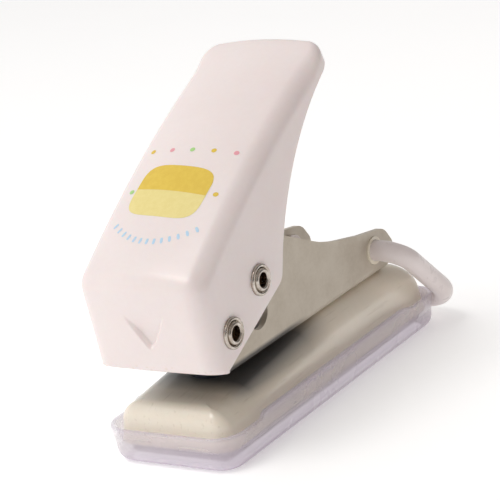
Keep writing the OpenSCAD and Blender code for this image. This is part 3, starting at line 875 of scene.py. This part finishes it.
def build_base(material):
    """The base block: an open shell with a pocket for the die."""
    plan = Plan(base_high[0], base_high[1], BASE_PLAN_R)
    rings = [base_wall(k / 4) for k in range(4)] + [base_fillet(k / 12) for k in range(13)]
    rings += [base_top(k / 8) for k in range(1, 9)]
    block = ring_skin("base_cover", plan, rings, "base", material,
                      slot="base_plastic", replaces=["base_shell"])
    add_modifier(block, "SOLIDIFY", thickness=BASE_WALL * MM, offset=-1, use_rim=True)
    freeze(block)
    die_low, die_high = node_box("die_ring")
    die_centre = ((die_low + die_high) / 2)[:2]
    cut(block, rod_tool("Z", die_centre, DIE_POCKET_R, FOOT + 3, SEAT + 1))
    smooth_by_angle(block, 40)


build_base(base_material())

TRAY_HALF_X, TRAY_HALF_Y, TRAY_TOP = node_box("chip_tray")[1]
TRAY_PLAN_R = 6.2
TRAY_WALL = 1.0
TRAY_DRAFT = 1.0
TRAY_FOOT_R = 2.8
TRAY_FLOOR = 1.2
TRAY_LEDGE = FOOT - 0.1
RIM_R = 0.35
RIM_STEP = 1.2
RIM_STEP_Y = (-33.0, -31.8)
RIM_DIP = 1.1
RIM_DIP_Y = (26.0, 33.0)


def rim_height(y):
    """The rim stands higher along the sides than at the two ends."""
    front = TRAY_TOP - 0.4
    return front + RIM_STEP * smooth(y, *RIM_STEP_Y) - RIM_DIP * smooth(y, *RIM_DIP_Y)


def level_ring(inset, height):
    """A ring at one height."""
    return lambda station: (inset, height)


def rim_ring(inset, below):
    """A ring that follows the rim, some way below it."""
    return lambda station: (inset, lambda x, y: rim_height(y) - below)


def quarter_turn(radius, degrees):
    """How far in and how far down a rounded edge is, from 0 degrees at its side to 90 on top."""
    a = math.radians(degrees)
    return radius * (1 - math.cos(a)), radius * (1 - math.sin(a))


def build_tray(material):
    """The chip tray: a tub with a rounded foot, a rolled rim and a ledge under the block."""
    plan = Plan(TRAY_HALF_X, TRAY_HALF_Y, TRAY_PLAN_R, per_side=90)
    middle = TRAY_HALF_X
    foot_inset = TRAY_DRAFT * (1 - TRAY_FOOT_R / TRAY_TOP)
    rings = [level_ring(middle, 0.0), level_ring(8.0, 0.0)]
    for a in np.linspace(0, 90, 9):
        height, inset = quarter_turn(TRAY_FOOT_R, a)
        rings.append(level_ring(foot_inset + inset, height))
    rings += [rim_ring(TRAY_DRAFT * 0.3, 2.6), rim_ring(0.0, 0.6)]
    roll = [quarter_turn(RIM_R, a) for a in (0, 30, 60, 90)]
    rings += [rim_ring(inset, below) for inset, below in roll]
    rings += [rim_ring(TRAY_WALL - inset, below) for inset, below in reversed(roll)]
    rings.append(rim_ring(TRAY_WALL + 0.3, 2.0))
    inside = ((1.0, TRAY_LEDGE), (2.2, TRAY_LEDGE), (2.5, TRAY_LEDGE - 1.2),
              (3.0, TRAY_FLOOR + 0.5), (3.8, TRAY_FLOOR))
    rings += [level_ring(TRAY_WALL + past_wall, height) for past_wall, height in inside]
    rings.append(level_ring(middle, TRAY_FLOOR))
    tray = ring_skin("tray_cover", plan, rings, "tray", material,
                     slot="tray_plastic", replaces=["chip_tray"])
    smooth_by_angle(tray, 40)


build_tray(tray_material())

# ---------------------------------------------------------------- return spring


WIRE_R = 0.275
COIL_TURNS = 5.0
COIL_FLAT_TURNS = 0.75
COIL_HEAD_R = 4.7


def build_spring(material):
    """A conical coil with closed ends."""
    low, high = node_box("return_spring")
    centre = (low + high) / 2
    foot_r = (high[0] - low[0]) / 2 - WIRE_R - 0.14
    per_turn, sides = 48, 10
    count = int(COIL_TURNS * per_turn)
    vertices = []
    for k in range(count + 1):
        t = k / count
        a = 2 * math.pi * COIL_TURNS * t
        rise = (COIL_TURNS * t - COIL_FLAT_TURNS) / (COIL_TURNS - 2 * COIL_FLAT_TURNS)
        r = foot_r + (COIL_HEAD_R - foot_r) * t
        z = low[2] + WIRE_R + (high[2] - low[2] - 2 * WIRE_R) * min(max(rise, 0), 1)
        for across, up in circle((0, 0), WIRE_R, sides):
            q = r + across
            vertices.append((q * math.cos(a), centre[1] + q * math.sin(a), z + up))
    faces = grid_faces(count + 1, sides, closed=True)
    faces += [tuple(reversed(range(sides))), tuple(range(count * sides, (count + 1) * sides))]
    coil = build("spring_coil", vertices, faces, "base", material,
                 slot="spring_steel", replaces=["return_spring"])
    smooth_by_angle(coil, 60)
    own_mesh(coil)


build_spring(steel_material("spring_steel", srgb(182, 184, 190)))

# ---------------------------------------------------------------- print on the lever

PRINT_RISE = 0.03
PATCH_RISE = 0.015


def on_crown(x, along, rise=PRINT_RISE):
    """A point of the printed film on the lever's top face, or on the start of its long edges."""
    lean = math.atan2(2 * TOP_SAG, LEVER_HALF - EDGE_R)
    flat_half = LEVER_HALF - EDGE_R * (1 - math.sin(lean))
    f = min(abs(x) / flat_half, 1.0)
    return (x, *crown_point(along, rise + TOP_RISE - TOP_SAG * f * f))


def turned(centre, u, v, degrees):
    """The point (u, v) from a centre, on axes turned by some degrees."""
    t = math.radians(degrees)
    return (centre[0] + u * math.cos(t) - v * math.sin(t),
            centre[1] + u * math.sin(t) + v * math.cos(t))


def blob(centre, radii, turn=0.0, power=2.0, n=40):
    """A closed superellipse outline on the print's plane."""
    outline = []
    for c, s in circle((0, 0), 1, n):
        u = radii[0] * math.copysign(abs(c) ** (2 / power), c)
        v = radii[1] * math.copysign(abs(s) ** (2 / power), s)
        outline.append(turned(centre, u, v, turn))
    return outline


def print_film(name, outlines, material):
    """Flat ink shapes that follow the crown, each drawn in towards its middle in rings."""
    vertices, faces = [], []
    for outline in outlines:
        start, n = len(vertices), len(outline)
        outline = np.array(outline)
        middle = np.mean(outline, axis=0)
        shares = np.linspace(1, 0.1, 8)
        for share in shares:
            vertices += [on_crown(*p) for p in middle + (outline - middle) * share]
        faces += [tuple(start + k for k in f) for f in grid_faces(len(shares), n, closed=True)]
        faces.append(tuple(start + (len(shares) - 1) * n + k for k in range(n)))
    build(name, vertices, faces, "lever", material, slot="lever_plastic")


PATCH_AT = (-0.4, 22.4)
PATCH_HALF = (8.9, 6.6)
PATCH_TURN = -4.0
PATCH_POWER = 4.2
SEAM_END = 0.985
DOT_COLUMNS = (-10.4, -5.2, 0.0, 5.2, 10.4)
DOT_ROW_RISE = 11.0
DASH_COUNT = 13
DASH_REACH = 10.0
DASH_MIDDLE = 9.6
DASH_BOW = 3.9


def on_patch(u, v):
    """A point of the printed patch, from shares of its half sizes to (x, along)."""
    return turned(PATCH_AT, u * PATCH_HALF[0], v * PATCH_HALF[1], PATCH_TURN)


def patch_crest(u):
    """The patch's upper edge, which stops short of its two ends."""
    return on_patch(u, max((1 - abs(u) ** PATCH_POWER) ** (1 / PATCH_POWER), 0.2))


def build_upper_tone(material):
    """The patch's upper tone, from a straight seam up to its crest."""
    across, steps = np.linspace(-SEAM_END, SEAM_END, 33), 6
    seam = np.array([on_patch(u, 0.0) for u in across])
    crest = np.array([patch_crest(u) for u in across])
    rows = [seam + (crest - seam) * k / steps for k in range(steps + 1)]
    vertices = [on_crown(*p, PRINT_RISE + PATCH_RISE) for row in rows for p in row]
    faces = grid_faces(len(rows), len(across))
    build("print_patch_upper", vertices, faces, "lever", material, slot="lever_plastic")


def build_print():
    """A generic decoration: a two-tone patch, evenly spaced dots and a row of blue dashes."""
    gold = ink_material("ink_gold", srgb(232, 200, 74), srgb(222, 186, 58))
    straw = ink_material("ink_straw", srgb(240, 224, 150), srgb(232, 214, 132))
    rose = ink_material("ink_rose", srgb(238, 168, 178), srgb(230, 152, 164))
    green = ink_material("ink_green", srgb(176, 222, 140), srgb(160, 210, 124))
    blue = ink_material("ink_blue", srgb(190, 220, 242), srgb(176, 210, 236))

    print_film("print_patch", [blob(PATCH_AT, PATCH_HALF, PATCH_TURN, PATCH_POWER, 96)], straw)
    build_upper_tone(gold)

    dots = [(x, PATCH_AT[1] + DOT_ROW_RISE) for x in DOT_COLUMNS]
    dots += [(x, PATCH_AT[1]) for x in DOT_COLUMNS if abs(x) > PATCH_HALF[0]]
    inks = (gold, rose, green)
    for colour, ink in enumerate(inks):
        film = [blob(dot, (0.6, 0.55)) for dot in dots[colour::len(inks)]]
        print_film("print_dots_" + str(colour + 1), film, ink)

    dashes = []
    for t in np.linspace(-1, 1, DASH_COUNT):
        slope = math.degrees(math.atan(2 * DASH_BOW / DASH_REACH * t))
        middle = (DASH_REACH * t, DASH_MIDDLE + DASH_BOW * t * t)
        dashes.append(blob(middle, (0.3, 0.7), slope, 3.0, 16))
    print_film("print_blue_dashes", dashes, blue)


build_print()

# ---------------------------------------------------------------- carried-over CAD nodes

CAD_LOOKS = {
    "frame": paint_material(),
    # The die's steel is painted near black, as painted shade where it sits under the frame.
    "die_ring": metal("die_steel", srgb(58, 60, 66), 0.42, srgb(34, 36, 40)).mat,
    "guide_bush": brass_material(),
    "frame_rivets": steel_material("rivet_steel", srgb(200, 198, 194)),
    "bail_bushes": plastic("bush_plastic", srgb(240, 232, 214), 0.28, srgb(226, 214, 188),
                           Coat_Weight=0.4).mat,
    "fulcrum_spacer": steel_material("tube_steel", srgb(180, 180, 182)),
    "fulcrum_washers": plastic("washer_nylon", srgb(224, 222, 214), 0.45, srgb(206, 202, 192)).mat,
    "punch_rod": steel_material("punch_steel", srgb(198, 198, 202)),
    "punch_yoke": steel_material("yoke_steel", srgb(150, 150, 154)),
    "lock_bail": plastic("bail_coat", srgb(238, 228, 226), 0.3, srgb(226, 214, 210),
                         Coat_Weight=0.3).mat,
}
SAME_LOOK = {"spring_washer": "frame_rivets", "drive_sleeve": "fulcrum_spacer",
             "drive_washers": "fulcrum_washers"}
BEVELLED = {"frame": 0.22, "punch_yoke": 0.15}
for name, node in frame["nodes"].items():
    if node.hide_render:
        continue
    look = CAD_LOOKS[SAME_LOOK.get(name, name)]
    node.data.materials.clear()
    node.data.materials.append(look)
    if name in BEVELLED:
        soften(node, BEVELLED[name])
    else:
        smooth_by_angle(node, 30)

# ---------------------------------------------------------------- camera, light and floor

CAMERA_AIM = (-0.00764, 0.00554, 0.02969)
CAMERA_AZIMUTH = 35.47
CAMERA_ELEVATION = 16.77
CAMERA_ROLL = -9.07
CAMERA_DISTANCE = 0.4201
CAMERA_LENS = 137.0


def towards(azimuth, elevation):
    """The direction from the object to a place at that azimuth and elevation."""
    a, e = math.radians(azimuth), math.radians(elevation)
    return Vector((math.sin(a) * math.cos(e), -math.cos(a) * math.cos(e), math.sin(e)))


def facing(azimuth, elevation, roll=0.0):
    """The rotation of a camera or lamp that looks back from there."""
    turn, r = math.radians(azimuth), math.radians(roll)
    back = towards(azimuth, elevation)
    right = Vector((math.cos(turn), math.sin(turn), 0))
    up = back.cross(right)
    x = right * math.cos(r) + up * math.sin(r)
    y = back.cross(x)
    return Matrix((x, y, back)).transposed().to_4x4()


def seen_from(aim, azimuth, elevation, distance, roll=0.0):
    """The matrix of a camera or lamp at a distance from its aim."""
    place = Matrix.Translation(Vector(aim) + towards(azimuth, elevation) * distance)
    return place @ facing(azimuth, elevation, roll)


camera_data = bpy.data.cameras.new("camera")
camera_data.lens = CAMERA_LENS
camera_data.sensor_width = 36.0
camera_data.clip_start = 0.01
camera = bpy.data.objects.new("camera", camera_data)
camera.matrix_world = seen_from(CAMERA_AIM, CAMERA_AZIMUTH, CAMERA_ELEVATION,
                                CAMERA_DISTANCE, CAMERA_ROLL)
bpy.context.scene.collection.objects.link(camera)
bpy.context.scene.camera = camera

LIGHT_AIM = (0, 0, 0.03)


def soft_light(name, azimuth, elevation, distance, size, power, colour):
    """A round area light aimed at the object."""
    data = bpy.data.lights.new(name, "AREA")
    data.shape = "DISK"
    data.size = size
    data.energy = power
    data.color = colour
    lamp = bpy.data.objects.new(name, data)
    lamp.matrix_world = seen_from(LIGHT_AIM, azimuth, elevation, distance)
    bpy.context.scene.collection.objects.link(lamp)


soft_light("key", azimuth=-24, elevation=60, distance=1.0, size=0.6, power=4.0,
           colour=(1.0, 0.985, 0.97))
soft_light("fill", azimuth=95, elevation=25, distance=1.2, size=0.9, power=1.3,
           colour=(1.0, 0.84, 0.76))

SKY_LEFT = 0.93
SKY_RIGHT = 0.02
SKY_FRONT_EXTRA = 0.12


def build_world():
    """A pale studio sky, brighter from the left and a little brighter from the front."""
    world = bpy.data.worlds.new("studio")
    world.use_nodes = True
    tree = world.node_tree
    sky = tree.nodes["Background"]
    sky.inputs["Color"].default_value = (1, 0.985, 0.975, 1)
    direction = tree.nodes.new("ShaderNodeTexCoord").outputs["Generated"]
    split = tree.nodes.new("ShaderNodeSeparateXYZ")
    tree.links.new(direction, split.inputs["Vector"])
    sideways = map_range(tree, split.outputs["X"], -0.9, 0.9, SKY_LEFT, SKY_RIGHT)
    forwards = map_range(tree, split.outputs["Y"], -1.0, 0.1, SKY_FRONT_EXTRA, 0.0)
    total = tree.nodes.new("ShaderNodeMath")
    tree.links.new(sideways, total.inputs[0])
    tree.links.new(forwards, total.inputs[1])
    tree.links.new(total.outputs["Value"], sky.inputs["Strength"])
    bpy.context.scene.world = world


build_world()
bpy.context.scene.view_settings.view_transform = "Standard"

FLOOR_HALF = 4.0
FLOOR_GLOW = 0.32

floor_look = Material("floor", (0.93, 0.93, 0.93, 1), 0.7)
floor_look.shader.inputs["Emission Color"].default_value = (1, 1, 1, 1)
floor_look.shader.inputs["Emission Strength"].default_value = FLOOR_GLOW
floor_look.mottle((0.9, 0.9, 0.9, 1), 60.0, 0.3)
floor_corners = [(FLOOR_HALF * x, FLOOR_HALF * y, 0)
                 for x, y in ((-1, -1), (1, -1), (1, 1), (-1, 1))]
floor_mesh = bpy.data.meshes.new("floor")
floor_mesh.from_pydata(floor_corners, [], [(0, 1, 2, 3)])
floor_mesh.materials.append(floor_look.mat)
floor = bpy.data.objects.new("floor", floor_mesh)
bpy.context.scene.collection.objects.link(floor)
